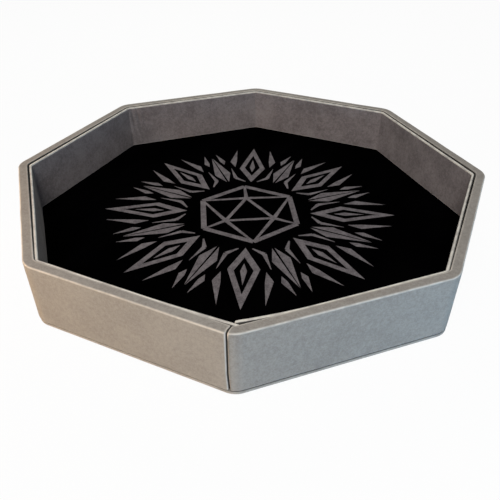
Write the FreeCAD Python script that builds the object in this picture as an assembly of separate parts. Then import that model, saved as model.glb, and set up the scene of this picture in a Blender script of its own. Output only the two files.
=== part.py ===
import FreeCAD, Part

import math
import os

# Octagonal dice tray: a row of wrapped boards bent round a wrapped base, with a thin liner and a padded
# velvet floor inside. Millimetres, +Z up. The origin is the middle of the underside, the last side faces
# -Y, and the wall strip's seam is in the corner at the right-hand end of that side.

# Overall size
across_flats = 300.0
tray_height = 42.0
side_count = 8

# Plan corners. The wall's layers and the liner turn them in parallel.
inside_corner_radius = 8.0
seam_inside_radius = 1.5
base_corner_radius = 13.0

# Faux suede, the same cloth on the wall, the liner and the base
cover_thickness = 0.4

# Wall strip. Its seam stands beside the corner's middle, by more outside than inside.
wall_board_thickness = 5.2
wall_edge_radius = 1.3
wall_turn_in = 13.0
seam_gap = 0.8
seam_shift_outside = 2.0
seam_shift_inside = 0.9

# Liner strip. It stands on the floor pad, and its first end has sprung inward, off the wall.
liner_gap = 0.6
liner_card_thickness = 0.8
liner_edge_radius = 0.7
liner_turn_in = 12.0
liner_drop = 1.05
liner_spring = 2.4
liner_spring_length = 9.0
liner_spring_radius = 6.0
liner_first_end_gap = 1.2
liner_last_end_gap = 0.2

# Base
base_board_thickness = 1.6
base_inset = 0.5
base_edge_radius = 0.85
base_bottom_bevel = 0.5
base_turn_in = 15.0

# Floor pad
pad_clearance = 0.25
pad_card_thickness = 1.6
pad_foam_thickness = 1.8
pad_turn_in = 12.0
velvet_thickness = 0.4

# Slits where the flaps of a wrapped plate meet, and how far they stop short of its corner
flap_slit = 0.4
flap_slit_margin = 4.0

# Modelling aids: how far a cutter runs past what it cuts, and the turn from which an edge is sharp
overrun = 5.0
sharp_turn = 10.0

# Sizes that follow
half_turn = math.pi / side_count
seam_angle = -math.pi / 2 + half_turn
outer_apothem = across_flats / 2
wall_thickness = wall_board_thickness + 2 * cover_thickness
wall_inner_apothem = outer_apothem - wall_thickness
liner_thickness = liner_card_thickness + 2 * cover_thickness
liner_apothem = wall_inner_apothem - liner_gap - liner_thickness / 2
inside_apothem = liner_apothem - liner_thickness / 2
base_thickness = base_board_thickness + 2 * cover_thickness
base_apothem = outer_apothem - base_inset
pad_apothem = wall_inner_apothem - pad_clearance
pad_thickness = pad_card_thickness + pad_foam_thickness + 2 * velvet_thickness
pad_top = base_thickness + pad_thickness
liner_top = tray_height - liner_drop

# The bevel on the boards' edges leaves room for the cloth's thickness inside its rounded bend
board_bevel = (2 - math.sqrt(2)) * (wall_edge_radius - cover_thickness)


# Plan geometry

def polar(distance, angle):
    return FreeCAD.Vector(distance * math.cos(angle), distance * math.sin(angle), 0)


def side_angle(index):
    """Direction that a side faces. Side 1 begins at the seam, and the last side ends there."""
    return -math.pi / 2 + 2 * half_turn * index


def corner_angle(index):
    """Direction of the corner after a side. Corner 0 holds the seam."""
    return seam_angle + 2 * half_turn * index


def corner_distance(apothem):
    return apothem / math.cos(half_turn)


def corner_points(apothem):
    return [polar(corner_distance(apothem), corner_angle(index)) for index in range(side_count)]


def layer_radius(apothem):
    """Corner radius of a layer that runs parallel to the tray's inside face."""
    return inside_corner_radius + apothem - inside_apothem


def apothem_of(point):
    """Apothem of the regular outline that passes through a point."""
    return max(point.dot(polar(1.0, side_angle(index))) for index in range(side_count))


def corner_arc(before, point, after, radius):
    """Arc that rounds a corner, as an edge with its two ends."""
    back = (before - point).normalize()
    ahead = (after - point).normalize()
    half_angle = back.getAngle(ahead) / 2
    reach = radius / math.tan(half_angle)
    depth = radius / math.sin(half_angle) - radius
    start = point + back * reach
    end = point + ahead * reach
    crown = point + (back + ahead).normalize() * depth
    return Part.Arc(start, crown, end).toShape(), start, end


def rounded_line(points, radii):
    """Edges of an open line through the points, rounded at each point between its ends."""
    edges = []
    place = points[0]
    for before, point, after, radius in zip(points, points[1:], points[2:], radii):
        arc, start, end = corner_arc(before, point, after, radius)
        edges += [Part.makeLine(place, start), arc]
        place = end
    return edges + [Part.makeLine(place, points[-1])]


def rounded_outline(apothem, radius, seam_radius):
    """Regular outline as a face. It starts halfway along the last side, and corner 0 comes first."""
    corners = corner_points(apothem)
    middle = (corners[-1] + corners[0]) / 2
    radii = [seam_radius] + [radius] * (side_count - 1)
    return Part.Face(Part.Wire(rounded_line([middle] + corners + [middle], radii)))


def parallel(points, distance):
    """An open line that turns left all the way, moved to its right-hand side."""
    headings = [(after - before).normalize() for before, after in zip(points, points[1:])]
    sides = [FreeCAD.Vector(heading.y, -heading.x, 0) for heading in headings]
    moved = [points[0] + sides[0] * distance]
    for point, before, after in zip(points[1:], sides, sides[1:]):
        moved.append(point + (before + after) * (distance / (1 + before.dot(after))))
    return moved + [points[-1] + sides[-1] * distance]


# Solids

def prism(face, bottom, top):
    lifted = face.translated(FreeCAD.Vector(0, 0, bottom))
    return lifted.extrude(FreeCAD.Vector(0, 0, top - bottom))


def polygon_prism(points, bottom, top):
    return prism(Part.Face(Part.makePolygon(points + points[:1])), bottom, top)


def plate(apothem, radius, bottom, top, seam_radius=None):
    """Upright solid on the regular outline. The seam's corner may have a radius of its own."""
    at_seam = radius if seam_radius is None else seam_radius
    return prism(rounded_outline(apothem, radius, at_seam), bottom, top)


def bar(start, end, width, bottom, top):
    """Box with its middle line from one plan point to another."""
    along = end - start
    aside = FreeCAD.Vector(along.y, -along.x, 0).normalize() * (width / 2)
    return polygon_prism([start + aside, end + aside, end - aside, start - aside], bottom, top)


def face_turn(shape, edge):
    """Degrees that the surface turns through at an edge."""
    middle = edge.valueAt((edge.FirstParameter + edge.LastParameter) / 2)
    faces = shape.ancestorsOfType(edge, Part.Face)
    first, second = [face.normalAt(*face.Surface.parameter(middle)) for face in faces]
    return math.degrees(first.getAngle(second))


def sharp_edges(shape, wanted):
    """Sharp edges whose middle point passes the given test."""
    return [
        edge
        for edge in shape.Edges
        if wanted(edge.CenterOfMass) and face_turn(shape, edge) > sharp_turn
    ]


def rounded(shape, radius, wanted):
    return shape.makeFillet(radius, sharp_edges(shape, wanted))


def bevelled(shape, size, wanted):
    return shape.makeChamfer(size, sharp_edges(shape, wanted))


def export(name, shape):
    shape.removeSplitter().exportStep(os.path.join("parts", name + ".step"))


# Wall strip: mitred boards in a row, wrapped on both faces, with hemmed ends that meet at the seam

def seam_line():
    """Plan points where the seam crosses the wall's inner and outer faces."""
    inner = polar(corner_distance(wall_inner_apothem), seam_angle)
    outer = polar(corner_distance(outer_apothem), seam_angle)
    aside = polar(1.0, seam_angle - math.pi / 2)
    return inner + aside * seam_shift_inside, outer + aside * seam_shift_outside


def seam_bar(width):
    inner, outer = seam_line()
    past = (outer - inner).normalize() * (wall_thickness + overrun)
    return bar(inner - past, outer + past, width, -overrun, tray_height + overrun)


def wall_form(inset):
    """The wrapped strip, or its row of boards, inset by the cloth on every face."""
    outer = outer_apothem - inset
    inner = wall_inner_apothem + inset
    top = tray_height - inset
    outside = plate(outer, layer_radius(outer), base_thickness + inset, top)
    inside = plate(inner, layer_radius(inner), -overrun, top + overrun, seam_inside_radius + inset)
    strip = outside.cut(inside).cut(seam_bar(seam_gap + 2 * inset))
    middle = (outer + inner) / 2
    middle_height = (base_thickness + tray_height) / 2

    def exposed(point):
        outer_side = apothem_of(point) > middle - wall_edge_radius
        at_top = point.z > middle_height and point.z > top - wall_edge_radius
        return outer_side or at_top

    if inset == 0:
        return rounded(strip, wall_edge_radius, exposed)
    return bevelled(strip, board_bevel, exposed)


def wall_sector(index):
    """Room of one board, from mitre to mitre, or to the seam at the strip's two ends."""
    inner, outer = seam_line()
    seam = [inner, outer + (outer - inner)]
    far = 2 * corner_distance(outer_apothem)
    first = seam if index == 1 else [polar(far, corner_angle(index - 1))]
    last = seam if index == side_count else [polar(far, corner_angle(index))]
    return polygon_prism([FreeCAD.Vector()] + first + last[::-1], -overrun, tray_height + overrun)


def build_wall():
    boards = wall_form(cover_thickness)
    for index in range(1, side_count + 1):
        export("wall_board_%d" % index, boards.common(wall_sector(index)))
    face = wall_inner_apothem + cover_thickness
    bottom = base_thickness + wall_turn_in
    top = tray_height - wall_turn_in
    bare = plate(face, layer_radius(face), bottom, top, seam_inside_radius + cover_thickness)
    bare_with_hems = bare.cut(seam_bar(2 * wall_turn_in))
    export("wall_cover", wall_form(0).cut(boards).cut(bare_with_hems))


# Liner strip: a scored card, wrapped, and open at the seam's corner

def liner_line(outward, trim):
    """Points and corner radii of a line parallel to the strip's middle, with both ends trimmed."""
    corners = corner_points(liner_apothem)
    knee = corners[0] + (corners[1] - corners[0]).normalize() * liner_spring_length
    sprung = corners[0] - polar(liner_spring, side_angle(1))
    first = sprung + (knee - sprung).normalize() * (liner_first_end_gap + trim)
    last = corners[0] + (corners[-1] - corners[0]).normalize() * (liner_last_end_gap + trim)
    radii = [liner_spring_radius + outward]
    radii += [layer_radius(liner_apothem) + outward] * (side_count - 1)
    return parallel([first, knee] + corners[1:] + [last], outward), radii


def liner_band(outer, inner, trim, bottom, top):
    """Upright strip between two lines parallel to the liner's middle."""
    outer_points, outer_radii = liner_line(outer, trim)
    inner_points, inner_radii = liner_line(inner, trim)
    edges = rounded_line(outer_points, outer_radii)
    edges.append(Part.makeLine(outer_points[-1], inner_points[-1]))
    edges += rounded_line(inner_points, inner_radii)
    edges.append(Part.makeLine(inner_points[0], outer_points[0]))
    return prism(Part.Face(Part.Wire(Part.sortEdges(edges)[0])), bottom, top)


def liner_form(inset):
    """The wrapped liner, or its card, inset by the cloth on every face."""
    half = liner_thickness / 2 - inset
    return liner_band(half, -half, inset, pad_top + inset, liner_top - inset)


def build_liner():
    card = liner_form(cover_thickness)
    form = rounded(liner_form(0), liner_edge_radius, lambda point: point.z > liner_top - cover_thickness)
    back = liner_card_thickness / 2
    bare = liner_band(
        back + overrun / 2,
        back,
        cover_thickness,
        pad_top + liner_turn_in,
        liner_top - liner_turn_in,
    )
    export("liner_card", card)
    export("liner_cover", form.cut(card).cut(bare))


# Base and floor pad: plates wrapped in cloth that is folded over the edges in flaps

def flap_cutter(apothem, turn_in, cloth, flap_bottom):
    """What the cloth's flaps leave bare on a plate: its middle, and a slit at each corner."""
    bare_apothem = apothem - turn_in
    slit_start = polar(corner_distance(bare_apothem) - overrun, seam_angle)
    slit_end = polar(corner_distance(apothem) - flap_slit_margin, seam_angle)
    slit = bar(slit_start, slit_end, flap_slit, flap_bottom, flap_bottom + cloth)
    middle = polygon_prism(corner_points(bare_apothem), flap_bottom, flap_bottom + cloth)
    slits = [
        slit.rotated(FreeCAD.Vector(), FreeCAD.Vector(0, 0, 1), math.degrees(2 * half_turn * index))
        for index in range(side_count)
    ]
    return middle.multiFuse(slits)


def build_base():
    def layer(inset):
        radius = base_corner_radius - inset
        return plate(base_apothem - inset, radius, inset, base_thickness - inset)

    middle_height = base_thickness / 2
    form = rounded(layer(0), base_edge_radius, lambda point: point.z > middle_height)
    form = bevelled(form, base_bottom_bevel, lambda point: point.z < cover_thickness)
    board = layer(cover_thickness)
    bare = flap_cutter(base_apothem, base_turn_in, cover_thickness, base_thickness - cover_thickness)
    export("base_board", board)
    export("base_cover", form.cut(board).cut(bare))


def build_floor_pad():
    def layer(inset, bottom, top):
        apothem = pad_apothem - inset
        return plate(apothem, layer_radius(apothem), bottom, top)

    card_bottom = base_thickness + velvet_thickness
    card_top = card_bottom + pad_card_thickness
    foam_top = pad_top - velvet_thickness
    card = layer(velvet_thickness, card_bottom, card_top)
    foam = layer(velvet_thickness, card_top, foam_top)
    bare = flap_cutter(pad_apothem, pad_turn_in, velvet_thickness, base_thickness)
    export("floor_card", card)
    export("floor_foam", foam)
    export("floor_velvet", layer(0, base_thickness, pad_top).cut(card.fuse(foam)).cut(bare))


os.makedirs("parts", exist_ok=True)
build_wall()
build_liner()
build_base()
build_floor_pad()
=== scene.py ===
import bisect
import math

import bmesh
import bpy
from mathutils import Matrix, Vector, noise


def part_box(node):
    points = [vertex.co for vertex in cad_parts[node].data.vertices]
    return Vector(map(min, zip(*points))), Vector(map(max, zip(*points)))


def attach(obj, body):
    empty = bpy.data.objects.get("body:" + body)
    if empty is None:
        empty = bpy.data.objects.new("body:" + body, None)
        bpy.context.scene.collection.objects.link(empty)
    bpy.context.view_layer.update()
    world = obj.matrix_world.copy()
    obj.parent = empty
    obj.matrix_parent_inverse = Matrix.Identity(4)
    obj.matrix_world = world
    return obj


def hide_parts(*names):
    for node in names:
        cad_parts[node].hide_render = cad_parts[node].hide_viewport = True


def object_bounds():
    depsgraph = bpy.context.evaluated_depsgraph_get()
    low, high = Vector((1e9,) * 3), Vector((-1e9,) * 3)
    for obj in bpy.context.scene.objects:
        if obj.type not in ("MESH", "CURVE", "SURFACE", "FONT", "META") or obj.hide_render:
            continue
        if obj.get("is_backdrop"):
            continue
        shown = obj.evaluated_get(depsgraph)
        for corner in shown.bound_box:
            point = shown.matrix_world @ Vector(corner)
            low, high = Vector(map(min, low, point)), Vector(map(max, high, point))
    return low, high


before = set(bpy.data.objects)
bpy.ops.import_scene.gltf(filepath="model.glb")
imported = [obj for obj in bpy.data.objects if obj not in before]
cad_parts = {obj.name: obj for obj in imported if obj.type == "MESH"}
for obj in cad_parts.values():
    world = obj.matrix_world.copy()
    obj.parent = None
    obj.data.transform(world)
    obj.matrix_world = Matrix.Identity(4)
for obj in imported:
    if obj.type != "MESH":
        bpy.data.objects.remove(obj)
cad_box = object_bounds()

# Octagonal dice tray. Metres. The seam is in the corner at the right-hand end of the side that faces -Y.
MM = 0.001
SIDES = 8
HALF_TURN = math.pi / SIDES  # half of the turn from one side to the next
SEAM_ANGLE = -math.pi / 2 + HALF_TURN

# Sizes read from the frame
WALL_LOW, WALL_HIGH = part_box("wall_cover")
LINER_LOW, LINER_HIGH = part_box("liner_cover")
BASE_LOW, BASE_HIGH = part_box("base_cover")
PAD_LOW, PAD_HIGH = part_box("floor_velvet")
FOAM_LOW, FOAM_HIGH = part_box("floor_foam")

# Wall strip
WALL_HEIGHT = WALL_HIGH.z - WALL_LOW.z
WALL_THICKNESS = 6.0 * MM
WALL_OUTER = WALL_HIGH.x
WALL_INNER = WALL_OUTER - WALL_THICKNESS
WALL_EDGE = 0.8 * MM
WALL_INNER_EDGE = 0.45 * MM
WALL_CORNER_RADIUS = 14 * MM
WALL_INNER_CORNER_RADIUS = 6.5 * MM
WALL_TURN_IN = 13 * MM
WALL_UNEVENNESS = 0.1 * MM
WALL_WAVE_SIDEWAYS = 17 * MM
WALL_WAVE_UPWARD = 23 * MM

# Seam. Its lead reaches this far past its corner on each side, and the strip's ends come to lean over the
# same length. The lean grows over the given shares of the strip's thickness and height.
SEAM_GAP = 0.8 * MM
SEAM_SHIFT_OUTSIDE = 2.0 * MM
SEAM_SHIFT_INSIDE = 0.9 * MM
SEAM_INSIDE_RADIUS = 1.5 * MM
SEAM_LEAD = 10 * MM
SEAM_LEAN = 1.15 * MM
SEAM_LEAN_ACROSS = (0, 0.6)
SEAM_LEAN_UP = (-0.25, 0.3)

# Hem of the wall strip's first end. Its edge is painted lighter near the top, partly as rubbed wear and
# partly as a painted highlight, and this fades out between these depths.
HEM_LENGTH = 2 * MM
HEM_FADE = (2 * MM, 6 * MM)

# Liner strip
LINER_HEIGHT = LINER_HIGH.z - LINER_LOW.z
LINER_SOLID_THICKNESS = 1.6 * MM
LINER_THICKNESS = 1.05 * MM
LINER_INNER = LINER_HIGH.x - LINER_SOLID_THICKNESS
LINER_MIDDLE = LINER_INNER + LINER_THICKNESS / 2
LINER_EDGE = 0.45 * MM
LINER_CORNER_RADIUS = 3.2 * MM
LINER_SNUG = 1.1 * MM
LINER_SNUG_ANGLE = math.radians(112)
LINER_TURN_IN = 12 * MM
LINER_FIRST_SPRING = 2.7 * MM
LINER_FIRST_SPRING_LENGTH = 40 * MM
LINER_LAST_SPRING = 1.5 * MM
LINER_LAST_SPRING_LENGTH = 65 * MM
LINER_FIRST_END_GAP = 2.0 * MM
LINER_LAST_END_GAP = -1.8 * MM
LINER_UNEVENNESS = 0.12 * MM
LINER_WAVE = 19 * MM

# Puckers and a small fold in the liner's cloth, beside its back left corner. Shares are of its height.
PUCKER_CORNER = 5
PUCKER_REACH = 20 * MM
PUCKER_START = 3 * MM
PUCKER_WIDTH = 5 * MM
PUCKER_DEPTH = 1.0 * MM
PUCKER_SLANT = 0.12
PUCKER_FOOT = (0.1, 0.6)
PUCKER_TOP = (0.93, 1.0)
FOLD_REACH = 5 * MM
FOLD_DEPTH = 0.7 * MM
FOLD_SHARE = 0.3
FOLD_SHARE_REACH = 0.2

# Corners, cloth, base and pad
INSIDE_CORNER_RADIUS = 8 * MM
CLOTH = 0.4 * MM
FLAP_CORNER_RADIUS = 1 * MM
BASE_CORNER_RADIUS = 12 * MM
BASE_EDGE = 1.2 * MM
BASE_BOTTOM_EDGE = 0.5 * MM
BASE_DROP = 0.6 * MM
BASE_DROP_REACH = 3 * BASE_EDGE
BASE_ASIDE = Vector((0.35, -0.15, 0)) * MM
BASE_TURN_IN = 15 * MM
PAD_EDGE = 1.0 * MM
PAD_TURN_IN = 12 * MM
PAD_UNEVENNESS = 0.08 * MM
PAD_WAVE = 38 * MM
PAD_SINK = 0.6  # share of the unevenness by which the whole top lies lower

# Painted shade: how cloth is painted darker where shade falls, in gaps, in the seam, in the liner's creases
# and along the liner's top at the back. A pair gives where a change begins and is complete, and a single
# distance is where a change that begins at 0 is complete.
GAP_DEPTHS = (0.1 * MM, 0.6 * MM)
GAP_REACH = 0.5 * MM
SEAM_DEPTHS = (0.2 * MM, 1.2 * MM)
INNER_EDGE_DARK = 0.6
INNER_EDGE_FADE = (0.2 * MM, 0.8 * MM)
ROLLED_END_DARK = 0.45
ROLLED_END_REACH = 1.7 * MM
ROLLED_END_DEPTHS = (1.5 * MM, 4 * MM)
LINER_BACK_DEPTH = 0.3 * MM
LINER_GAP_FADE = (0.1 * MM, 0.5 * MM)
FAR_SIDE_DARK = 0.15
FAR_SIDE_Y = 0.12
FAR_SIDE_DEPTH = 2 * MM
CREASE_DARK = 0.6
BASE_DEPTHS = (0.4 * MM, 0.8 * MM)

# How finely meshes are divided
STEP = 2 * MM
LINER_STEP = 1 * MM
BASE_RING_STEP = 6 * MM
PAD_RING_STEP = 3 * MM
CORNER_STEPS = 10
LEAD_STEPS = 3 * CORNER_STEPS
EDGE_STEPS = 4
LEAN_STEPS = 10
CLEAR_OF_EDGE = 1.2  # edge radii that a strip's stations keep clear of its ends
SMALLEST_RING_CORNER = 0.02  # share of a ring's size


# Numbers and places

def ramp(value, low, high):
    """0 up to the low value, 1 from the high value, and a straight line between them."""
    return min(max((value - low) / (high - low), 0), 1)


def fade(value, low, high):
    """1 up to the low value, 0 from the high value, and a straight line between them."""
    return ramp(-value, -high, -low)


def soft_noise(point, wavelength):
    return noise.noise(point / wavelength)


def in_plan(point):
    return Vector((point.x, point.y, 0))


def polar(distance, angle):
    return Vector((distance * math.cos(angle), distance * math.sin(angle), 0))


# Plan geometry

def side_angle(index):
    """Direction that a side faces. Side 1 begins at the seam, and side 8 ends there."""
    return -math.pi / 2 + 2 * HALF_TURN * index


def corner_point(apothem, index):
    """Corner of the regular outline. Corner 0 holds the seam."""
    return polar(apothem / math.cos(HALF_TURN), SEAM_ANGLE + 2 * HALF_TURN * index)


def corner_radius(apothem):
    """Corner radius of a layer that runs parallel to the tray's inside face."""
    return INSIDE_CORNER_RADIUS + apothem - LINER_INNER


def rounded_corner(before, point, after, radius):
    """Points along the arc that rounds a corner."""
    back = (before - point).normalized()
    ahead = (after - point).normalized()
    half_angle = back.angle(ahead) / 2
    reach = radius / math.tan(half_angle)
    centre = point + (back + ahead).normalized() * (radius / math.sin(half_angle))
    first = (point + back * reach - centre).normalized()
    last = (point + ahead * reach - centre).normalized()
    turned = [first.slerp(last, step / CORNER_STEPS).normalized() for step in range(CORNER_STEPS + 1)]
    return [centre + direction * radius for direction in turned]


def straight(start, end, step=STEP):
    """Points along a side. Every side has the same number of steps, so that layers match."""
    steps = round(2 * LINER_INNER * math.tan(HALF_TURN) / step)
    return [start.lerp(end, index / steps) for index in range(steps + 1)]


def evenly(points, steps):
    """A polyline's points replaced by others that divide its length evenly."""
    lengths = [(after - before).length for before, after in zip(points, points[1:])]
    share = sum(lengths) / steps
    placed = [points[0]]
    travelled = 0
    for start, end, length in zip(points, points[1:], lengths):
        while len(placed) < steps and len(placed) * share <= travelled + length:
            placed.append(start.lerp(end, (len(placed) * share - travelled) / length))
        travelled += length
    return placed + [points[-1]]


def trimmed(points, place, direction):
    """The end of a polyline that lies past a plane, from where it crosses that plane."""
    depths = [(point - place).dot(direction) for point in points]
    last_before = max(index for index, depth in enumerate(depths) if depth <= 0)
    share = depths[last_before] / (depths[last_before] - depths[last_before + 1])
    return [points[last_before].lerp(points[last_before + 1], share)] + points[last_before + 1:]


def parallel(points, distance):
    """An open line that turns left all the way, moved to its right-hand side."""
    headings = [(after - before).normalized() for before, after in zip(points, points[1:])]
    sides = [Vector((heading.y, -heading.x, 0)) for heading in headings]
    moved = [points[0] + sides[0] * distance]
    for point, before, after in zip(points[1:], sides, sides[1:]):
        moved.append(point + (before + after) * (distance / (1 + before.dot(after))))
    return moved + [points[-1] + sides[-1] * distance]


# Lines that the strips follow

def seam_points():
    """Plan points where the seam crosses the wall's inner and outer faces."""
    aside = polar(1, SEAM_ANGLE - math.pi / 2)
    inner = corner_point(WALL_INNER, 0) + aside * SEAM_SHIFT_INSIDE
    outer = corner_point(WALL_OUTER, 0) + aside * SEAM_SHIFT_OUTSIDE
    return inner, outer


def wall_line(apothem, seam_radius, radius):
    """Stations along one face of the wall strip, from seam end to seam end."""
    lead_place = WALL_INNER * math.tan(HALF_TURN) - SEAM_LEAD

    def along_side(index, place):
        facing = side_angle(index)
        return polar(apothem, facing) + polar(place, facing + math.pi / 2)

    corners = [corner_point(apothem, index) for index in range(SIDES + 2)]
    seam_arc = rounded_corner(along_side(0, 0), corners[0], corners[1], seam_radius)
    inner, outer = seam_points()
    across = (outer - inner).normalized()
    ahead = Vector((-across.y, across.x, 0))
    half_gap = ahead * (SEAM_GAP / 2)
    lead_out = [along_side(0, 0)] + seam_arc + [along_side(1, -lead_place)]
    lead_in = [along_side(SIDES, lead_place)] + seam_arc + [along_side(SIDES + 1, 0)]
    first = trimmed(lead_out, inner + half_gap, ahead)
    last = trimmed(lead_in[::-1], inner - half_gap, -ahead)[::-1]
    stations = evenly(first, LEAD_STEPS)
    for index in range(1, SIDES):
        arc = rounded_corner(corners[index - 1], corners[index], corners[index + 1], radius)
        stations += straight(stations[-1], arc[0])[1:] + arc[1:]
    return stations + straight(stations[-1], last[0])[1:] + evenly(last, LEAD_STEPS)[1:]


def liner_line(outward):
    """Stations along a face of the liner strip, from one of its ends at the seam to the other."""
    corners = [corner_point(LINER_MIDDLE, index) for index in range(SIDES)]
    first = corners[0] + (corners[1] - corners[0]).normalized() * LINER_FIRST_END_GAP
    last = corners[0] + (corners[-1] - corners[0]).normalized() * LINER_LAST_END_GAP
    points = parallel([first] + corners[1:] + [last], outward)
    radius = LINER_CORNER_RADIUS + LINER_THICKNESS / 2 + outward
    stations = [points[0]]
    for before, point, after in zip(points, points[1:], points[2:]):
        arc = rounded_corner(before, point, after, radius)
        stations += straight(stations[-1], arc[0], LINER_STEP)[1:] + arc[1:]
    return stations + straight(stations[-1], points[-1], LINER_STEP)[1:]


# Meshes and objects

def piece_middle(piece):
    corners = [Vector(corner) for corner in piece.bound_box]
    return sum(corners, Vector()) / len(corners)


def mesh_object(name, mesh):
    data = bpy.data.meshes.new(name)
    mesh.to_mesh(data)
    mesh.free()
    data.polygons.foreach_set("use_smooth", [True] * len(data.polygons))
    piece = bpy.data.objects.new(name, data)
    bpy.context.scene.collection.objects.link(piece)
    return piece


def applied(piece):
    """The same object with its modifiers worked into its mesh."""
    bpy.context.view_layer.update()
    graph = bpy.context.evaluated_depsgraph_get()
    data = bpy.data.meshes.new_from_object(piece.evaluated_get(graph))
    piece.modifiers.clear()
    piece.data = data
    data.name = piece.name
    return piece


def cloth_object(name, mesh):
    """The mesh as an object, thickened inward from its outer face to the cloth's thickness."""
    bmesh.ops.recalc_face_normals(mesh, faces=mesh.faces)
    piece = mesh_object(name, mesh)
    middle = piece_middle(piece)
    if sum(face.normal.dot(face.center - middle) for face in piece.data.polygons) < 0:
        piece.data.flip_normals()
    solidify = piece.modifiers.new("thickness", "SOLIDIFY")
    solidify.thickness = CLOTH
    solidify.offset = -1
    solidify.use_quality_normals = True
    return applied(piece)


def filled_object(name, mesh):
    """The mesh as an object, with its open ring closed."""
    bmesh.ops.holes_fill(mesh, edges=mesh.edges)
    bmesh.ops.recalc_face_normals(mesh, faces=mesh.faces)
    return mesh_object(name, mesh)


# Strips: the surface of a long thin box with rounded edges, bent along two lines

# Axes of the box: along the strip, across it and up
AXES = range(3)
ACROSS = 1


class Ribbon:
    """Place in the tray of a point given by its way along, across and up a strip."""

    def __init__(self, inner, outer, bottom):
        self.inner = inner
        self.outer = outer
        self.bottom = bottom
        middles = [(near + far) / 2 for near, far in zip(inner, outer)]
        self.travelled = [0]
        for before, after in zip(middles, middles[1:]):
            self.travelled.append(self.travelled[-1] + (after - before).length)
        self.length = self.travelled[-1]
        halfway = len(inner) // 2
        self.thickness = (outer[halfway] - inner[halfway]).length

    def place(self, along, across, up):
        last_segment = len(self.travelled) - 2
        index = min(max(bisect.bisect_right(self.travelled, along) - 1, 0), last_segment)
        span = self.travelled[index + 1] - self.travelled[index]
        share = (along - self.travelled[index]) / span
        near = self.inner[index].lerp(self.inner[index + 1], share)
        far = self.outer[index].lerp(self.outer[index + 1], share)
        point = near.lerp(far, across / self.thickness)
        return Vector((point.x, point.y, self.bottom + up))


def edge_stops(length, radius, step):
    """Places along one side of the box: closer together where its edges are rounded."""
    turns = [math.tan(math.pi / 4 * (1 - index / EDGE_STEPS)) for index in range(EDGE_STEPS + 1)]
    start = [radius * (1 - turn) for turn in turns]
    between = max(1, round((length - 2 * radius) / step))
    middle = [radius + (length - 2 * radius) * index / between for index in range(1, between)]
    return start + middle + [length - place for place in reversed(start)]


def along_stops(ribbon, radius):
    """The same along a strip, with its stations between the rounded edges of its ends."""
    ends = edge_stops(ribbon.length, radius, ribbon.length)
    clear = radius * CLEAR_OF_EDGE
    middle = [place for place in ribbon.travelled if clear < place < ribbon.length - clear]
    half = len(ends) // 2
    return ends[:half] + middle + ends[half:]


def rounded_place(place, size, radius):
    """A point of the box's surface, moved onto its rounded form."""
    core = Vector([min(max(value, radius), extent - radius) for value, extent in zip(place, size)])
    outward = place - core
    return core + outward.normalized() * radius


def from_edge(place, size, hem):
    """Distance from a point of the box's surface to its nearest edge at the top or at an end.

    The hem of the strip's first end shows only at the top, and is further from points lower down. The suede
    is painted lighter near the edges that this gives, partly as rubbed wear and partly as a painted
    highlight."""
    along, across, up = place
    length, thickness, height = size
    from_end = min(along + hem * ramp(height - up, *HEM_FADE), length - along)
    return sorted((from_end, min(across, thickness - across), height - up))[1]


def leaned(ribbon, along, across, up, height, lean):
    """Place along a strip, moved back near its ends: not at the inner face, and less near the bottom."""
    near_end = fade(min(along, ribbon.length - along), 0, SEAM_LEAD)
    outside = ramp(across / ribbon.thickness, *SEAM_LEAN_ACROSS)
    return along - lean * near_end * outside * ramp(up / height, *SEAM_LEAN_UP)


def box_faces(counts):
    """Quads of the box's surface, as lattice indices, each with the axis and end of its side."""
    for axis in AXES:
        first, second = [other for other in AXES if other != axis]
        for end in (0, counts[axis] - 1):
            for i in range(counts[first] - 1):
                for j in range(counts[second] - 1):
                    quad = []
                    for di, dj in ((0, 0), (1, 0), (1, 1), (0, 1)):
                        index = [end, end, end]
                        index[first] = i + di
                        index[second] = j + dj
                        quad.append(tuple(index))
                    yield axis, end, quad


def strip_mesh(name, ribbon, height, radii, bare, ripple, painted_shade, lean=0.0, hem=0.0):
    """Cloth wrapped round a strip, with a radius for its inner edges and one for its outer edges.

    It is left out where the first test says that the strip is bare. The painted shade test gives how much
    shade is painted on a point, from 0 in the open to 1 deep in a gap. The outer face's ends lean back along
    the strip at the top."""
    size = (ribbon.length, ribbon.thickness, height)
    widest = max(radii)
    stops = [along_stops(ribbon, widest)]
    stops += [edge_stops(extent, widest, STEP) for extent in size[1:]]
    mesh = bmesh.new()
    edge_layer = mesh.verts.layers.float.new("edge_mm")
    # The depth attribute holds how much shade the material paints on each point.
    painted_shade_layer = mesh.verts.layers.float.new("depth")
    made = {}

    def vertex(index):
        if index not in made:
            flat = Vector([stops[axis][index[axis]] for axis in AXES])
            radius = radii[0] if flat.y < ribbon.thickness / 2 else radii[1]
            along, across, up = rounded_place(flat, size, radius)
            along = leaned(ribbon, along, across, up, height, lean)
            point = ribbon.place(along, across, up)
            vert = mesh.verts.new(point + ripple(point, along, across, up))
            vert[edge_layer] = from_edge(flat, size, hem) / MM
            # Painted shade for this point
            vert[painted_shade_layer] = painted_shade(point, *flat)
            made[index] = vert
        return made[index]

    for axis, end, quad in box_faces([len(values) for values in stops]):
        middle = [sum(stops[which][index[which]] for index in quad) / len(quad) for which in AXES]
        if not bare(axis, end, *middle):
            mesh.faces.new([vertex(index) for index in quad])
    return cloth_object(name, mesh)


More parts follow.
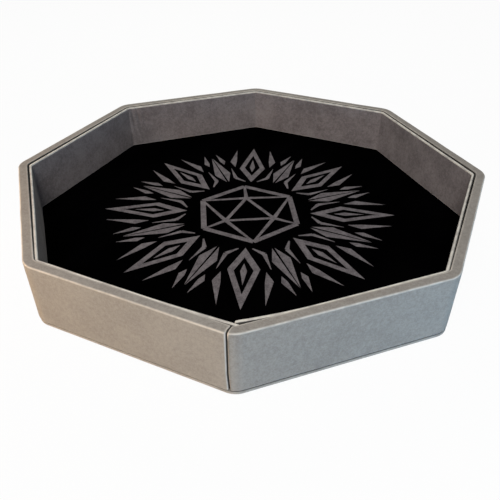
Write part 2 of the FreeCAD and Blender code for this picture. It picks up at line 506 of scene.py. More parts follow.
def board_mesh(name, stops, place):
    """A bent board. The stops along, across and up it are put in place by the function given."""
    mesh = bmesh.new()
    made = {}

    def vertex(index):
        if index not in made:
            made[index] = mesh.verts.new(place(*[stops[axis][index[axis]] for axis in AXES]))
        return made[index]

    for _, _, quad in box_faces([len(values) for values in stops]):
        mesh.faces.new([vertex(index) for index in quad])
    bmesh.ops.recalc_face_normals(mesh, faces=mesh.faces)
    board = mesh_object(name, mesh)
    board.data.polygons.foreach_set("use_smooth", [False] * len(board.data.polygons))
    return board


# Wall strip

def wall_ribbon():
    inner = wall_line(WALL_INNER, SEAM_INSIDE_RADIUS, WALL_INNER_CORNER_RADIUS)
    outer = wall_line(WALL_OUTER, WALL_CORNER_RADIUS, WALL_CORNER_RADIUS)
    return Ribbon(inner, outer, WALL_LOW.z)


def past_last_mitre(ribbon):
    """The first station past the last mitre, which is halfway round the corner before the last side."""
    side_steps = len(straight(Vector(), Vector())) - 1
    corner_end = len(ribbon.travelled) - 1 - LEAD_STEPS - side_steps
    return corner_end - CORNER_STEPS // 2 + 1


def make_last_board():
    """The wall's last board, from its mitre to the seam, where its end leans as the cloth over it does."""
    ribbon = wall_ribbon()

    def place(along, across, up):
        return ribbon.place(leaned(ribbon, along, across, up, WALL_HEIGHT, SEAM_LEAN), across, up)

    lengthwise = ribbon.travelled[past_last_mitre(ribbon):-1] + [ribbon.length - CLOTH]
    crosswise = [CLOTH, WALL_THICKNESS - CLOTH]
    upright = [CLOTH + (WALL_HEIGHT - 2 * CLOTH) * step / LEAN_STEPS for step in range(LEAN_STEPS + 1)]
    return board_mesh("last_wall_board", [lengthwise, crosswise, upright], place)


def make_wall_cloth():
    ribbon = wall_ribbon()

    def bare(axis, end, along, across, up):
        on_inner_face = axis == ACROSS and end == 0
        clear_of_ends = WALL_TURN_IN < along < ribbon.length - WALL_TURN_IN
        return on_inner_face and clear_of_ends and WALL_TURN_IN < up < WALL_HEIGHT - WALL_TURN_IN

    def ripple(point, along, across, up):
        outward = in_plan(point).normalized()
        sideways = outward * (across / WALL_THICKNESS) * soft_noise(point, WALL_WAVE_SIDEWAYS)
        upward = Vector((0, 0, up / WALL_HEIGHT)) * soft_noise(point, WALL_WAVE_UPWARD)
        return (sideways + upward) * WALL_UNEVENNESS

    # Painted shade: dark behind the liner, on the inner edge beside the liner's gap, in the groove over the
    # base, in the seam and beside the rolled first end.
    def painted_shade(point, along, across, up):
        below_top = WALL_HEIGHT - up
        from_outside = WALL_THICKNESS - across
        from_end = min(along, ribbon.length - along)
        behind_liner = ramp(below_top, *GAP_DEPTHS) * fade(across, 0, CLOTH)
        inner_edge = INNER_EDGE_DARK * fade(across, *INNER_EDGE_FADE) * (1 - snugness(point))
        over_base = fade(up, 0, GAP_REACH) * ramp(from_outside, *GAP_DEPTHS)
        in_seam = fade(from_end, 0, GAP_REACH)
        in_seam *= ramp(from_outside, *SEAM_DEPTHS) * ramp(below_top, *SEAM_DEPTHS)
        rolled_end = ROLLED_END_DARK * fade(along, 0, ROLLED_END_REACH) * ramp(below_top, *ROLLED_END_DEPTHS)
        return max(behind_liner, inner_edge, over_base, in_seam, rolled_end)

    radii = (WALL_INNER_EDGE, WALL_EDGE)
    return strip_mesh("wall_cloth", ribbon, WALL_HEIGHT, radii, bare, ripple, painted_shade, SEAM_LEAN, HEM_LENGTH)


# Liner strip

def snugness(point):
    """1 at the front and back, where the liner nearly touches the wall, and 0 at the left and right."""
    turned = math.atan2(point.y, point.x) - LINER_SNUG_ANGLE
    return 0.5 + 0.5 * math.cos(2 * turned)


def snug_move(point):
    return in_plan(point).normalized() * LINER_SNUG * snugness(point)


def sprung(ribbon, along):
    """How far the strip stands inward near its ends, which have sprung off the wall."""
    first = LINER_FIRST_SPRING * fade(along, 0, LINER_FIRST_SPRING_LENGTH) ** 2
    last = LINER_LAST_SPRING * fade(ribbon.length - along, 0, LINER_LAST_SPRING_LENGTH) ** 2
    return -polar(first, side_angle(1)) - polar(last, side_angle(SIDES))


def pucker(point, up):
    """How far the cloth bulges inward near the puckered corner, as a share of its depth there."""
    corner = corner_point(LINER_MIDDLE, PUCKER_CORNER)
    ahead = (corner_point(LINER_MIDDLE, PUCKER_CORNER - 1) - corner).normalized()
    past = (in_plan(point) - corner).dot(ahead)
    if not 0 < past < PUCKER_REACH:
        return 0
    slanted = past + PUCKER_SLANT * (up - LINER_HEIGHT / 2)
    depth = ramp(past, 0, PUCKER_START) * fade(past, 0, PUCKER_REACH) ** 2
    depth *= ramp(up / LINER_HEIGHT, *PUCKER_FOOT) * fade(up / LINER_HEIGHT, *PUCKER_TOP)
    return depth * math.sin(2 * math.pi * slanted / PUCKER_WIDTH)


def fold(point, up):
    """The same for a small fold low in that corner."""
    apart = (in_plan(point) - corner_point(LINER_MIDDLE, PUCKER_CORNER)).length
    aside = abs(up / LINER_HEIGHT - FOLD_SHARE)
    return fade(apart, 0, FOLD_REACH) * fade(aside, 0, FOLD_SHARE_REACH)


def make_liner_board():
    """The card inside the liner."""
    half = LINER_THICKNESS / 2 - CLOTH
    ribbon = Ribbon(liner_line(-half), liner_line(half), LINER_LOW.z + CLOTH)

    def place(along, across, up):
        point = ribbon.place(along, across, up)
        return point + snug_move(point) + sprung(ribbon, along)

    lengthwise = [CLOTH] + ribbon.travelled[1:-1] + [ribbon.length - CLOTH]
    return board_mesh("liner_board", [lengthwise, [0, 2 * half], [0, LINER_HEIGHT - 2 * CLOTH]], place)


def make_liner_cloth():
    half = LINER_THICKNESS / 2
    ribbon = Ribbon(liner_line(-half), liner_line(half), LINER_LOW.z)

    def bare(axis, end, along, across, up):
        on_outer_face = axis == ACROSS and end > 0
        clear_of_ends = LINER_EDGE < along < ribbon.length - LINER_EDGE
        return on_outer_face and clear_of_ends and LINER_TURN_IN < up < LINER_HEIGHT - LINER_TURN_IN

    def ripple(point, along, across, up):
        wave = LINER_UNEVENNESS * soft_noise(point, LINER_WAVE)
        wave -= PUCKER_DEPTH * pucker(point, up) + FOLD_DEPTH * fold(point, up)
        bulge = in_plan(point).normalized() * wave * (1 - across / LINER_THICKNESS)
        return bulge + snug_move(point) + sprung(ribbon, along)

    # Painted shade: dark on the back of the top and over the gap to the wall, darker along the top at the
    # back of the tray, and in the puckers' creases.
    def painted_shade(point, along, across, up):
        below_top = LINER_HEIGHT - up
        from_outside = LINER_THICKNESS - across
        back = ramp(below_top, 0, LINER_BACK_DEPTH) * fade(from_outside, 0, CLOTH)
        over_gap = fade(from_outside, *LINER_GAP_FADE) * (1 - snugness(point))
        far_side = FAR_SIDE_DARK * ramp(point.y, 0, FAR_SIDE_Y) * fade(below_top, 0, FAR_SIDE_DEPTH)
        crease = CREASE_DARK * max(0, -pucker(point, up)) if across < half else 0
        return max(back, over_gap, far_side, crease)

    return strip_mesh("liner_cloth", ribbon, LINER_HEIGHT, (LINER_EDGE, LINER_EDGE), bare, ripple, painted_shade)


# Plates: the base and the floor pad, each wrapped in cloth that is turned in at its back

def outline(apothem, radius):
    """Closed outline. It has the same number of points at every size, so that rings match."""
    points = []
    for index in range(SIDES):
        corners = [corner_point(apothem, index + step) for step in (-1, 0, 1)]
        arc = rounded_corner(*corners, radius)
        if points:
            points += straight(points[-1], arc[0])[1:-1]
        points += arc
    return points + straight(points[-1], points[0])[1:-1]


def plate_mesh(name, rings, height_at, painted_shade, finished=cloth_object):
    """Surface through rings, given as apothem, corner radius and height, closed by a point in the middle."""
    mesh = bmesh.new()
    edge_layer = mesh.verts.layers.float.new("edge_mm")
    # The depth attribute holds how much shade the material paints on each point.
    painted_shade_layer = mesh.verts.layers.float.new("depth")
    widest = max(ring[0] for ring in rings)
    loops = []
    for apothem, radius, z in rings:
        loop = []
        for point in outline(apothem, radius):
            vert = mesh.verts.new((point.x, point.y, height_at(point.x, point.y, z)))
            vert[edge_layer] = (widest - apothem) / MM
            vert[painted_shade_layer] = painted_shade(apothem, z)
            loop.append(vert)
        loops.append(loop)
    for near, far in zip(loops, loops[1:]):
        for index in range(len(near)):
            after = (index + 1) % len(near)
            mesh.faces.new([near[index], near[after], far[after], far[index]])
    middle = mesh.verts.new((0, 0, height_at(0, 0, rings[-1][2])))
    middle[edge_layer] = widest / MM
    last = loops[-1]
    for index in range(len(last)):
        mesh.faces.new([last[index], last[(index + 1) % len(last)], middle])
    return finished(name, mesh)


def edge_rings(apothem, radius, edge, level, direction):
    """Rings round a rounded edge, from the face at the given level to the upright side.

    The direction is 1 for a face on top and -1 for one below."""
    rings = []
    for step in range(EDGE_STEPS + 1):
        turn = math.pi / 2 * step / EDGE_STEPS
        inset = edge * (1 - math.sin(turn))
        rings.append((apothem - inset, radius - inset, level - direction * edge * (1 - math.cos(turn))))
    return rings


def face_rings(apothem, radius, level, step):
    """Rings over a flat face, from near its edge to near its middle."""
    count = round(apothem / step)
    rings = []
    for index in range(1, count):
        size = apothem * (1 - index / count)
        rings.append((size, max(radius - (apothem - size), size * SMALLEST_RING_CORNER), level))
    return rings


def make_base_cloth():
    size = BASE_HIGH.x
    radius = BASE_CORNER_RADIUS
    flap = (size - BASE_TURN_IN, FLAP_CORNER_RADIUS, BASE_HIGH.z)
    under_wall = (size - BASE_DROP_REACH, radius - BASE_DROP_REACH, BASE_HIGH.z)
    top = edge_rings(size, radius, BASE_EDGE, BASE_HIGH.z - BASE_DROP, 1)
    bottom = edge_rings(size, radius, BASE_BOTTOM_EDGE, BASE_LOW.z, -1)[::-1]
    below = face_rings(*bottom[-1], BASE_RING_STEP)

    # Painted shade: the top is painted dark in from its outer edge, in the groove under the wall.
    def painted_shade(apothem, z):
        return ramp(size - apothem, *BASE_DEPTHS) if z > BASE_HIGH.z / 2 else 0

    cloth = plate_mesh("base_cloth", [flap, under_wall] + top + bottom + below, lambda x, y, z: z, painted_shade)
    cloth.data.transform(Matrix.Translation(BASE_ASIDE))
    return cloth


def pad_height(x, y, z):
    """The velvet's top isn't quite level."""
    if z < PAD_HIGH.z - PAD_EDGE:
        return z
    return z + PAD_UNEVENNESS * (soft_noise(Vector((x, y, 0)), PAD_WAVE) - PAD_SINK)


def make_pad_cloth():
    size = PAD_HIGH.x
    radius = corner_radius(size)
    flap = (size - PAD_TURN_IN, FLAP_CORNER_RADIUS, PAD_LOW.z)
    below = (size - CLOTH, radius - CLOTH, PAD_LOW.z)
    side = (size, radius, PAD_LOW.z + CLOTH)
    top = edge_rings(size, radius, PAD_EDGE, PAD_HIGH.z, 1)[::-1]
    over = face_rings(*top[-1], PAD_RING_STEP)
    return plate_mesh("pad_velvet", [flap, below, side] + top + over, pad_height, lambda apothem, z: 0)


def make_pad_foam():
    """The foam under the velvet. Its top edge is pressed round by the velvet, and its top follows it."""
    size = FOAM_HIGH.x
    radius = corner_radius(size)
    below = (size, radius, FOAM_LOW.z)
    top = edge_rings(size, radius, PAD_EDGE - CLOTH, FOAM_HIGH.z, 1)[::-1]
    over = face_rings(*top[-1], PAD_RING_STEP)
    return plate_mesh("pad_foam", [below] + top + over, pad_height, lambda apothem, z: 0, filled_object)


# Print on the floor: a faceted gem in a burst of shards, inked onto the velvet

INK_RISE = 0.06 * MM
INK_STEP = 6 * MM
INK_REACH = 108 * MM

# Gem. Its spokes taper from its face to its corners.
GEM_SIDES = 6
GEM_RADIUS = 38 * MM
GEM_FACE_RADIUS = 20 * MM
GEM_LINE = 2.6 * MM
GEM_SPOKE_LINES = (GEM_LINE * 1.2, GEM_LINE * 0.6)
GEM_RIM_LINE = GEM_LINE * 1.5

# Shards, given by how far their near tip, shoulders and far tip are from the middle, and by half their width
LONG_SHARD = (45 * MM, 68 * MM, 106 * MM, 10.5 * MM)
LONG_SHARD_HOLE = 0.6
INNER_SHARD = (62 * MM, 70 * MM, 84 * MM, 2.2 * MM)
SPLIT_SHARD = (48 * MM, 62 * MM, 92 * MM, 6.5 * MM)
SLIT = 1.6 * MM
SLIT_TAPER = 0.3

# On both sides of each long shard, turned from it by an angle in radians: the points of a bent line, with
# their distance from the middle and the line's width there, and slivers, which lean by another angle
BENT_LINE = ((0.1, 46 * MM, 1.0 * MM), (0.24, 53 * MM, 3.2 * MM), (0.25, 70 * MM, 0.3 * MM))
SLIVERS = (
    (0.2, (72 * MM, 82 * MM, 103 * MM, 2.8 * MM), -0.06),
    (0.31, (78 * MM, 84 * MM, 98 * MM, 2.2 * MM), 0.03),
)


def bar_shape(start, end, start_width, end_width):
    """Corners of a straight line with a width at each end."""
    along = (end - start).normalized()
    aside = Vector((-along.y, along.x, 0))
    return [
        start + aside * start_width / 2,
        start - aside * start_width / 2,
        end - aside * end_width / 2,
        end + aside * end_width / 2,
    ]


def kite(angle, near, shoulder, far, half_width, lean=0.0):
    """Corners of a shard: its near tip, its two shoulders and its far tip, which leans by an angle."""
    ahead = polar(1, angle)
    aside = polar(half_width, angle + math.pi / 2)
    return [ahead * near, ahead * shoulder - aside, polar(far, angle + lean), ahead * shoulder + aside]


def halves(shape):
    """The shape in two halves along its length, with a slit between them that narrows outward."""
    near, right, far, left = shape
    aside = (left - right).normalized() * SLIT / 2
    return [
        [near - aside, right, far - aside * SLIT_TAPER],
        [near + aside, far + aside * SLIT_TAPER, left],
    ]


def hollow(shape, share):
    """The shape as quads round a like hole."""
    middle = sum(shape, Vector()) / len(shape)
    hole = [middle.lerp(point, share) for point in shape]
    quads = []
    for index in range(len(shape)):
        after = (index + 1) % len(shape)
        quads.append([shape[index], shape[after], hole[after], hole[index]])
    return quads


def gem_shapes():
    """The outline of a gem with a triangular face, its corners joined to the gem's."""
    turn = 2 * math.pi / GEM_SIDES
    shapes = []
    for index in range(0, GEM_SIDES, 2):
        face_here = polar(GEM_FACE_RADIUS, index * turn)
        face_next = polar(GEM_FACE_RADIUS, (index + 2) * turn)
        shapes.append(bar_shape(face_here, face_next, GEM_LINE, GEM_LINE))
        for joined in (index - 1, index, index + 1):
            shapes.append(bar_shape(face_here, polar(GEM_RADIUS, joined * turn), *GEM_SPOKE_LINES))
    for index in range(GEM_SIDES):
        here = polar(GEM_RADIUS, index * turn)
        there = polar(GEM_RADIUS, (index + 1) * turn)
        shapes.append(bar_shape(here, there, GEM_RIM_LINE, GEM_RIM_LINE))
    return shapes


def burst_shapes():
    """Long hollow shards towards the corners, split ones between them, and slivers beside both."""
    shapes = []
    for index in range(SIDES):
        angle = SEAM_ANGLE + 2 * HALF_TURN * index
        shapes += hollow(kite(angle, *LONG_SHARD), LONG_SHARD_HOLE)
        shapes.append(kite(angle, *INNER_SHARD))
        shapes += halves(kite(angle + HALF_TURN, *SPLIT_SHARD))
        for side in (-1, 1):
            bends = [(polar(distance, angle + side * turn), width) for turn, distance, width in BENT_LINE]
            for (start, start_width), (end, end_width) in zip(bends, bends[1:]):
                shapes.append(bar_shape(start, end, start_width, end_width))
            for turn, shard, lean in SLIVERS:
                shapes.append(kite(angle + side * turn, *shard, side * lean))
    return shapes


def make_print():
    """The print, divided finely enough to follow the velvet's top."""
    mesh = bmesh.new()
    for shape in gem_shapes() + burst_shapes():
        face = mesh.faces.new([mesh.verts.new(point) for point in shape])
        if face.normal.z < 0:
            face.normal_flip()
    for axis in (Vector((1, 0, 0)), Vector((0, 1, 0))):
        for step in range(round(2 * INK_REACH / INK_STEP)):
            parts = mesh.verts[:] + mesh.edges[:] + mesh.faces[:]
            place = axis * (step * INK_STEP - INK_REACH)
            bmesh.ops.bisect_plane(mesh, geom=parts, plane_co=place, plane_no=axis)
    for vert in mesh.verts:
        vert.co.z = pad_height(vert.co.x, vert.co.y, PAD_HIGH.z) + INK_RISE
    return mesh_object("floor_print", mesh)


# Materials

SUEDE_DARK = (0.285, 0.255, 0.23)
SUEDE_LIGHT = (0.40, 0.365, 0.33)
SUEDE_TONE_REACH = 0.265  # from the mean of the noises to the darkest and the lightest
GRAIN_WEIGHT = 0.6
FLECK_WEIGHT = 0.45
CLOUD_WEIGHT = 0.35
# Lighter edge colours: the wall's edges are partly rubbed wear and partly painted highlight, the liner's top
# edge is a painted highlight.
WALL_WORN_AND_HIGHLIGHT = (0.84, 0.77, 0.69)
LINER_HIGHLIGHT = (0.92, 0.87, 0.79)
# Painted highlight: share of the lighter colour painted along a band at the foot.
FOOT_HIGHLIGHT_SHARE = 0.3
# Painted shade: the near-black colour painted where the depth attribute says a point lies in shade, and its
# largest share.
PAINTED_SHADE_COLOUR = (0.02, 0.017, 0.015)
PAINTED_SHADE_SHARE = 0.9
VELVET_DARK = (0.0003, 0.0003, 0.0004)
VELVET_LIGHT = (0.0009, 0.0008, 0.001)
VELVET_TIPS = (0.0016, 0.0015, 0.0017)
INK_THIN = (0.105, 0.093, 0.101)
INK_FULL = (0.235, 0.212, 0.225)
SPECK_FINENESS = 3  # times the noise scale of the fibres
SPECK_SHADE = 0.5  # of the board's dark colour

# Places of the Mix node's colour sockets, whose names it gives to other sockets too
MIX_FIRST, MIX_SECOND, MIX_RESULT = 6, 7, 2


class Nodes:
    """Short calls for building a material. Noise scales are in waves per metre."""

    def __init__(self, name):
        self.material = bpy.data.materials.new(name)
        self.material.use_nodes = True
        self.tree = self.material.node_tree
        self.shader = self.tree.nodes["Principled BSDF"]
        coordinates = self.tree.nodes.new("ShaderNodeTexCoord")
        self.place = coordinates.outputs["Object"]

    def join(self, source, target):
        self.tree.links.new(source, target)

    def feed(self, socket, value):
        if isinstance(value, bpy.types.NodeSocket):
            self.join(value, socket)
        elif isinstance(value, tuple):
            socket.default_value = value + (1.0,)
        else:
            socket.default_value = value

    def set(self, **values):
        for key, value in values.items():
            self.feed(self.shader.inputs[key.replace("_", " ")], value)

    def noise(self, scale, detail=2.0, roughness=0.5, stretch=None):
        place = self.place
        if stretch:
            mapping = self.tree.nodes.new("ShaderNodeMapping")
            mapping.inputs["Scale"].default_value = stretch
            self.join(self.place, mapping.inputs["Vector"])
            place = mapping.outputs["Vector"]
        node = self.tree.nodes.new("ShaderNodeTexNoise")
        node.inputs["Scale"].default_value = scale
        node.inputs["Detail"].default_value = detail
        node.inputs["Roughness"].default_value = roughness
        self.join(place, node.inputs["Vector"])
        return node.outputs["Fac"]

    def height(self):
        node = self.tree.nodes.new("ShaderNodeSeparateXYZ")
        self.join(self.place, node.inputs["Vector"])
        return node.outputs["Z"]

    def attribute(self, name):
        node = self.tree.nodes.new("ShaderNodeAttribute")
        node.attribute_name = name
        return node.outputs["Fac"]

    def ranged(self, source, low, high, to_low=0, to_high=1):
        """A soft step from one value up to the low source value to another from the high one."""
        node = self.tree.nodes.new("ShaderNodeMapRange")
        node.interpolation_type = "SMOOTHSTEP"
        values = {"From Min": low, "From Max": high, "To Min": to_low, "To Max": to_high}
        for key, value in values.items():
            node.inputs[key].default_value = value
        self.join(source, node.inputs["Value"])
        return node.outputs["Result"]

    def maths(self, operation, first, second):
        node = self.tree.nodes.new("ShaderNodeMath")
        node.operation = operation
        for socket, value in zip(node.inputs, (first, second)):
            self.feed(socket, value)
        return node.outputs["Value"]

    def weighted(self, layers):
        """Sum of the layers, each times its weight."""
        terms = [self.maths("MULTIPLY", layer, weight) for layer, weight in layers]
        total = terms[0]
        for term in terms[1:]:
            total = self.maths("ADD", total, term)
        return total

    def mix(self, share, first, second):
        node = self.tree.nodes.new("ShaderNodeMix")
        node.data_type = "RGBA"
        self.feed(node.inputs["Factor"], share)
        self.feed(node.inputs[MIX_FIRST], first)
        self.feed(node.inputs[MIX_SECOND], second)
        return node.outputs[MIX_RESULT]

    def bump(self, height, distance, strength, under=None):
        node = self.tree.nodes.new("ShaderNodeBump")
        node.inputs["Distance"].default_value = distance
        node.inputs["Strength"].default_value = strength
        self.join(height, node.inputs["Height"])
        if under:
            self.join(under, node.inputs["Normal"])
        return node.outputs["Normal"]


def make_suede(name, shades, spread, patchy, worn_and_highlight, worn_and_highlight_edge, worn_and_highlight_share, foot, foot_width):
    """Faux suede: a fine nap with lighter and darker patches, lighter where it is bent over an edge, partly
    as rubbed wear and partly as a painted highlight.

    The worn and highlight edge is a pair of distances in millimetres, between which that lighter share goes
    down to nothing. The suede is painted a little lighter too in a band that stands on the given level, a
    painted highlight, and painted dark where its depth attribute says that it lies in shade."""
    nodes = Nodes(name)
    grain = nodes.noise(1100, detail=3.0, roughness=0.65)
    fleck = nodes.noise(420, roughness=0.6)
    patch = nodes.noise(70, detail=3.0, roughness=0.6)
    cloud = nodes.noise(18)
    layers = ((grain, GRAIN_WEIGHT), (fleck, FLECK_WEIGHT), (patch, patchy), (cloud, CLOUD_WEIGHT))
    mean = sum(weight for _, weight in layers) / 2
    tone = nodes.ranged(nodes.weighted(layers), mean - SUEDE_TONE_REACH, mean + SUEDE_TONE_REACH)
    dark = tuple(value * shade * (1 - spread) for value, shade in zip(SUEDE_DARK, shades))
    light = tuple(value * shade * (1 + spread) for value, shade in zip(SUEDE_LIGHT, shades))
    colour = nodes.mix(tone, dark, light)
    # Edges lighter, unevenly, partly as rubbed wear and partly as a painted highlight.
    edge_wear_and_highlight = nodes.ranged(nodes.attribute("edge_mm"), *worn_and_highlight_edge, to_low=worn_and_highlight_share, to_high=0)
    # Painted highlight: a lighter band along the foot.
    foot_highlight = nodes.ranged(nodes.height(), foot, foot + foot_width, to_low=FOOT_HIGHLIGHT_SHARE, to_high=0)
    uneven = nodes.ranged(nodes.noise(150, roughness=0.6), low=0.3, high=0.62, to_low=0.55)
    wear_and_highlight = nodes.maths("MULTIPLY", nodes.maths("MAXIMUM", edge_wear_and_highlight, foot_highlight), uneven)
    # Painted shade: darkened towards the near-black colour by the depth attribute.
    painted_shade_mix = nodes.ranged(nodes.attribute("depth"), low=0, high=1, to_high=PAINTED_SHADE_SHARE)
    colour = nodes.mix(painted_shade_mix, nodes.mix(wear_and_highlight, colour, worn_and_highlight), PAINTED_SHADE_COLOUR)
    nap = nodes.bump(grain, distance=0.12 * MM, strength=0.5)
    nap = nodes.bump(patch, distance=0.25 * MM, strength=0.35, under=nap)
    nodes.set(Base_Color=colour, Roughness=0.93, Normal=nap)
    nodes.set(Sheen_Weight=0.12, Sheen_Roughness=0.5, Specular_IOR_Level=0.2)
    return nodes.material


def make_velvet():
    """Black velvet: nearly no light comes back, but for a faint sheen where the pile leans over."""
    nodes = Nodes("black_velvet")
    pile = nodes.noise(1600, roughness=0.6)
    brushed = nodes.noise(26, detail=3.0, roughness=0.6, stretch=(1.0, 0.45, 1.0))
    colour = nodes.mix(nodes.ranged(brushed, low=0.35, high=0.7), VELVET_DARK, VELVET_LIGHT)
    colour = nodes.mix(nodes.ranged(pile, low=0.45, high=0.75, to_high=0.4), colour, VELVET_TIPS)
    nodes.set(Base_Color=colour, Roughness=1.0, Normal=nodes.bump(pile, distance=0.2 * MM, strength=0.6))
    nodes.set(Sheen_Weight=0.003, Sheen_Roughness=0.35, Specular_IOR_Level=0.0)
    return nodes.material


def make_ink():
    """Grey ink that has soaked into the pile, thin in places."""
    nodes = Nodes("print_ink")
    pile = nodes.noise(1300, detail=3.0, roughness=0.7)
    thin = nodes.noise(160, detail=3.0, roughness=0.6)
    tone = nodes.weighted(((pile, 0.6), (thin, 0.4)))
    colour = nodes.mix(nodes.ranged(tone, low=0.36, high=0.62), INK_THIN, INK_FULL)
    nodes.set(Base_Color=colour, Roughness=0.85, Normal=nodes.bump(pile, distance=0.15 * MM, strength=0.5))
    nodes.set(Sheen_Weight=0.03, Specular_IOR_Level=0.15)
    return nodes.material


def make_board(name, dark, light, fibre_scale):
    """Pressed board: short fibres and darker specks."""
    nodes = Nodes(name)
    fibre = nodes.noise(fibre_scale, detail=4.0, roughness=0.7, stretch=(1.0, 1.0, 3.0))
    speck = nodes.noise(fibre_scale * SPECK_FINENESS)
    speck_colour = tuple(value * SPECK_SHADE for value in dark)
    colour = nodes.mix(nodes.ranged(fibre, low=0.3, high=0.7), dark, light)
    colour = nodes.mix(nodes.ranged(speck, low=0.62, high=0.75, to_high=0.5), colour, speck_colour)
    nodes.set(Base_Color=colour, Roughness=0.85, Normal=nodes.bump(fibre, distance=0.1 * MM, strength=0.4))
    return nodes.material


def dress(piece, material, slot):
    piece.data.materials.clear()
    piece.data.materials.append(material)


def dress_node(node, material):
    for slot in node.material_slots:
        slot.material = material


# One cloth in two copies: the wall's is painted lighter, as painted light, and the liner's darker and bluer,
# as painted shade.
lit_wall_suede = make_suede(
    "lit_wall_suede",
    shades=(1.1, 1.1, 1.1),
    spread=0.02,
    patchy=0.25,
    worn_and_highlight=WALL_WORN_AND_HIGHLIGHT,
    worn_and_highlight_edge=(0.1, 1.15),
    worn_and_highlight_share=0.9,
    foot=WALL_LOW.z + 0.3 * MM,
    foot_width=0.9 * MM,
)
# Painted shade: the liner's copy of the suede is darker and bluer than the wall's.
shaded_liner_suede = make_suede(
    "shaded_liner_suede",
    shades=(0.87, 0.84, 0.93),
    spread=0.14,
    patchy=0.5,
    worn_and_highlight=LINER_HIGHLIGHT,
    worn_and_highlight_edge=(0.6, 0.9),
    worn_and_highlight_share=1.0,
    foot=PAD_HIGH.z,
    foot_width=1.3 * MM,
)
base_suede = make_suede(
    "base_suede",
    shades=(0.95, 0.95, 0.95),
    spread=0.0,
    patchy=0.25,
    worn_and_highlight=WALL_WORN_AND_HIGHLIGHT,
    worn_and_highlight_edge=(0.0, 0.8),
    worn_and_highlight_share=0.3,
    foot=0,
    foot_width=0.1 * MM,
)
velvet = make_velvet()
ink = make_ink()
fibreboard = make_board("fibreboard", (0.27, 0.16, 0.08), (0.42, 0.28, 0.16), fibre_scale=220)
greyboard = make_board("greyboard", (0.2, 0.19, 0.17), (0.33, 0.31, 0.29), fibre_scale=300)
card = make_board("liner_card_stock", (0.3, 0.26, 0.2), (0.48, 0.44, 0.36), fibre_scale=260)
foam = make_board("black_foam", (0.012, 0.012, 0.013), (0.03, 0.03, 0.032), fibre_scale=700)


# Pieces

wall_cloth = make_wall_cloth()
liner_cloth = make_liner_cloth()
liner_board = make_liner_board()
last_board = make_last_board()
base_cloth = make_base_cloth()
pad_velvet = make_pad_cloth()
pad_foam = make_pad_foam()
floor_print = make_print()

for piece, material, slot, node in (
    (wall_cloth, lit_wall_suede, "suede", "wall_cover"),
    (liner_cloth, shaded_liner_suede, "suede", "liner_cover"),
    (liner_board, card, "card", "liner_card"),
    (last_board, fibreboard, "fibreboard", "wall_board_8"),
    (base_cloth, base_suede, "suede", "base_cover"),
    (pad_velvet, velvet, "velvet", "floor_velvet"),
    (pad_foam, foam, "foam", "floor_foam"),
):
    dress(piece, material, slot)
    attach(piece, "root")
    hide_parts(node)
dress(floor_print, ink, "velvet")
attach(floor_print, "root")

BOARDS = ["wall_board_%d" % index for index in range(1, SIDES)]
for name in BOARDS:
    dress_node(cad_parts[name], fibreboard)
for name in ("base_board", "floor_card"):
    dress_node(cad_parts[name], greyboard)


# Stage, camera and light

CAMERA_PLACE = (0.143, -0.3049, 0.2167)
CAMERA_TARGET = (0.0171, -0.0343, 0.0)
CAMERA_LENS = 38.96
CAMERA_SENSOR_WIDTH = 36
WORLD_LEVEL = 0.095
WORLD_COLOUR = (0.56, 0.76, 1.0)
FLOOR_SIZE = 6
FLOOR_COLOUR = (0.9, 0.9, 0.9)
FLOOR_GLOW = 1.0
FLOOR_GLOW_SHARE = 0.96

# Softboxes: name, place, target, width and height, level, and colour
SOFTBOXES = (
    ("key", (0.17, -0.63, 0.9), (0, 0, 0), (0.6, 0.6), 0.55, (1.0, 0.98, 0.94)),
    ("left", (-0.2, -0.2, 0.13), (-0.106, -0.106, 0.04), (0.08, 0.08), 0.36, (1.0, 0.58, 0.3)),
    ("low_left", (-0.5, -0.5, 0.021), (-0.08, -0.14, 0.021), (0.35, 0.036), 0.52, (1.0, 0.64, 0.24)),
    ("low_right", (0.4, -0.2, 0.04), (0.13, -0.08, 0.021), (0.2, 0.06), 0.43, (0.23, 0.59, 0.96)),
    ("back", (-0.3, 0.45, 0.5), (-0.08, 0.1, 0.04), (0.3, 0.3), 0.25, (1.0, 0.98, 0.82)),
)


def show_mixed(tree, share, first, second, output):
    """Gives the output node two shaders, mixed by a share of the second."""
    blend = tree.nodes.new("ShaderNodeMixShader")
    for source, socket in zip((share, first, second), blend.inputs):
        tree.links.new(source, socket)
    tree.links.new(blend.outputs["Shader"], tree.nodes[output].inputs["Surface"])


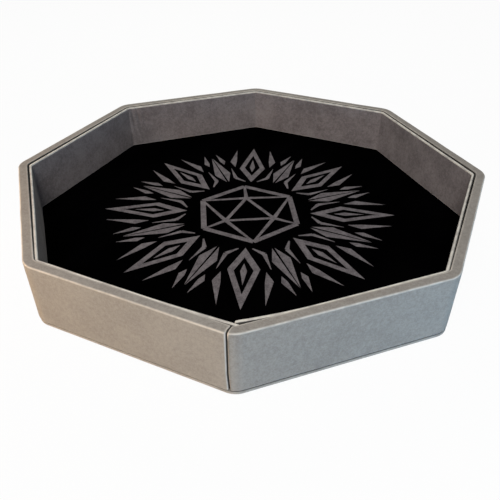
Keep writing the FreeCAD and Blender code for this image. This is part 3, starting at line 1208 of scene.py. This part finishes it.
def make_floor():
    """White floor. The camera sees it nearly white, and keeps some of the tray's shadow."""
    bpy.ops.mesh.primitive_plane_add(size=FLOOR_SIZE)
    floor = bpy.context.object
    floor.name = "studio_floor"
    nodes = Nodes("studio_floor")
    nodes.set(Base_Color=FLOOR_COLOUR, Roughness=0.9, Specular_IOR_Level=0.0)
    path = nodes.tree.nodes.new("ShaderNodeLightPath")
    glow = nodes.tree.nodes.new("ShaderNodeEmission")
    glow.inputs["Strength"].default_value = FLOOR_GLOW
    seen = nodes.maths("MULTIPLY", path.outputs["Is Camera Ray"], FLOOR_GLOW_SHARE)
    show_mixed(nodes.tree, seen, nodes.shader.outputs["BSDF"], glow.outputs["Emission"], "Material Output")
    floor.data.materials.append(nodes.material)
    floor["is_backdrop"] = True


def make_world():
    """Soft even light from all round, and plain white behind the floor's far edge."""
    world = bpy.data.worlds.new("studio")
    bpy.context.scene.world = world
    world.use_nodes = True
    tree = world.node_tree
    light = tree.nodes["Background"]
    light.inputs["Color"].default_value = WORLD_COLOUR + (1,)
    light.inputs["Strength"].default_value = WORLD_LEVEL
    white = tree.nodes.new("ShaderNodeBackground")
    white.inputs["Color"].default_value = (1, 1, 1, 1)
    seen = tree.nodes.new("ShaderNodeLightPath").outputs["Is Camera Ray"]
    show_mixed(tree, seen, light.outputs["Background"], white.outputs["Background"], "World Output")


def aimed(name, data, place, target):
    """A lamp or camera at a place, turned to face the target."""
    holder = bpy.data.objects.new(name, data)
    holder.location = place
    holder.rotation_euler = (Vector(target) - Vector(place)).to_track_quat("-Z", "Y").to_euler()
    bpy.context.scene.collection.objects.link(holder)
    return holder


def softbox(name, place, target, size, level, colour):
    """Area light. Its level is the share of plain white that a facing surface at the target gets."""
    data = bpy.data.lights.new(name, "AREA")
    data.shape = "RECTANGLE"
    data.size, data.size_y = size
    data.color = colour
    data.energy = level * math.pi ** 2 * (Vector(target) - Vector(place)).length_squared
    aimed(name, data, place, target).visible_camera = False


def make_camera():
    data = bpy.data.cameras.new("camera")
    data.sensor_width = CAMERA_SENSOR_WIDTH
    data.lens = CAMERA_LENS
    bpy.context.scene.camera = aimed("camera", data, CAMERA_PLACE, CAMERA_TARGET)


make_floor()
make_world()
make_camera()
for values in SOFTBOXES:
    softbox(*values)

bpy.context.scene.view_settings.view_transform = "Standard"

boxes = {"cad": cad_box, "visual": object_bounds()}
{key: [list(corner) for corner in box] for key, box in boxes.items()}
